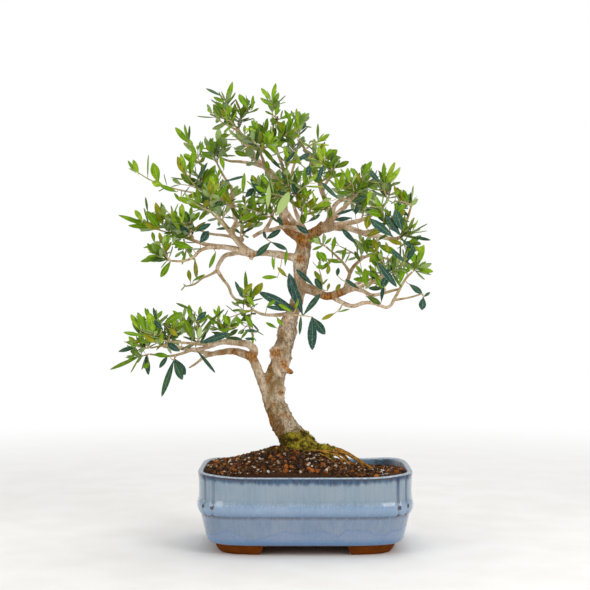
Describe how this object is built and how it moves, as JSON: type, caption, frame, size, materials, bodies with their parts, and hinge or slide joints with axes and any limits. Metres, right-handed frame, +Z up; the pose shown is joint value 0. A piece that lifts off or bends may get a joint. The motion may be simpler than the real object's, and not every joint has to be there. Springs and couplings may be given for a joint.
{
  "type": "olive bonsai in a pot",
  "caption": "Small olive tree with a curved trunk, layered leafy branches and surface roots, in a rounded rectangular glazed pot on corner feet.",
  "frame": {"origin": "on the surface that the feet stand on, under the middle of the whole object's box; the pot's middle is 33 mm to the right of it and 6 mm in front", "axes": "+Z up, +X to the right along the pot's length and -Y towards the side that the tree is viewed from"},
  "size_m": [0.3212, 0.1805, 0.4613],
  "materials": {
    "glaze": "pale blue-grey running glaze, dark brown-blue where it pools, bare brown clay feet",
    "screen": "black plastic mesh",
    "soil": "loose dark grit with pale pumice and orange clay grains",
    "bark": "grey-beige flaking bark, mossy at the base",
    "leaf": "leathery grey-green olive leaves, new ones yellow-green"
  },
  "bodies": {
    "root": {"drain_screen_left": "screen", "drain_screen_right": "screen", "pot": "glaze", "soil": "soil", "spray_left_1": "leaf", "spray_left_10": "leaf", "spray_left_11": "leaf", "spray_left_12": "leaf", "spray_left_13": "leaf", "spray_left_14": "leaf", "spray_left_2": "leaf", "spray_left_3": "leaf", "spray_left_4": "leaf", "spray_left_5": "leaf", "spray_left_6": "leaf", "spray_left_7": "leaf", "spray_left_8": "leaf", "spray_left_9": "leaf", "spray_low_left_1": "leaf", "spray_low_left_2": "leaf", "spray_low_left_3": "leaf", "spray_low_left_4": "leaf", "spray_low_left_5": "leaf", "spray_low_left_6": "leaf", "spray_low_left_7": "leaf", "spray_low_right_1": "leaf", "spray_low_right_2": "leaf", "spray_low_right_3": "leaf", "spray_low_right_4": "leaf", "spray_low_right_5": "leaf", "spray_low_right_6": "leaf", "spray_low_right_7": "leaf", "spray_low_right_8": "leaf", "spray_middle_1": "leaf", "spray_middle_2": "leaf", "spray_middle_3": "leaf", "spray_middle_4": "leaf", "spray_middle_5": "leaf", "spray_right_1": "leaf", "spray_right_10": "leaf", "spray_right_2": "leaf", "spray_right_3": "leaf", "spray_right_4": "leaf", "spray_right_5": "leaf", "spray_right_6": "leaf", "spray_right_7": "leaf", "spray_right_8": "leaf", "spray_right_9": "leaf", "spray_top_1": "leaf", "spray_top_10": "leaf", "spray_top_2": "leaf", "spray_top_3": "leaf", "spray_top_4": "leaf", "spray_top_5": "leaf", "spray_top_6": "leaf", "spray_top_7": "leaf", "spray_top_8": "leaf", "spray_top_9": "leaf", "spray_trunk_1": "leaf", "wood": "bark"}
  },
  "joints": []
}
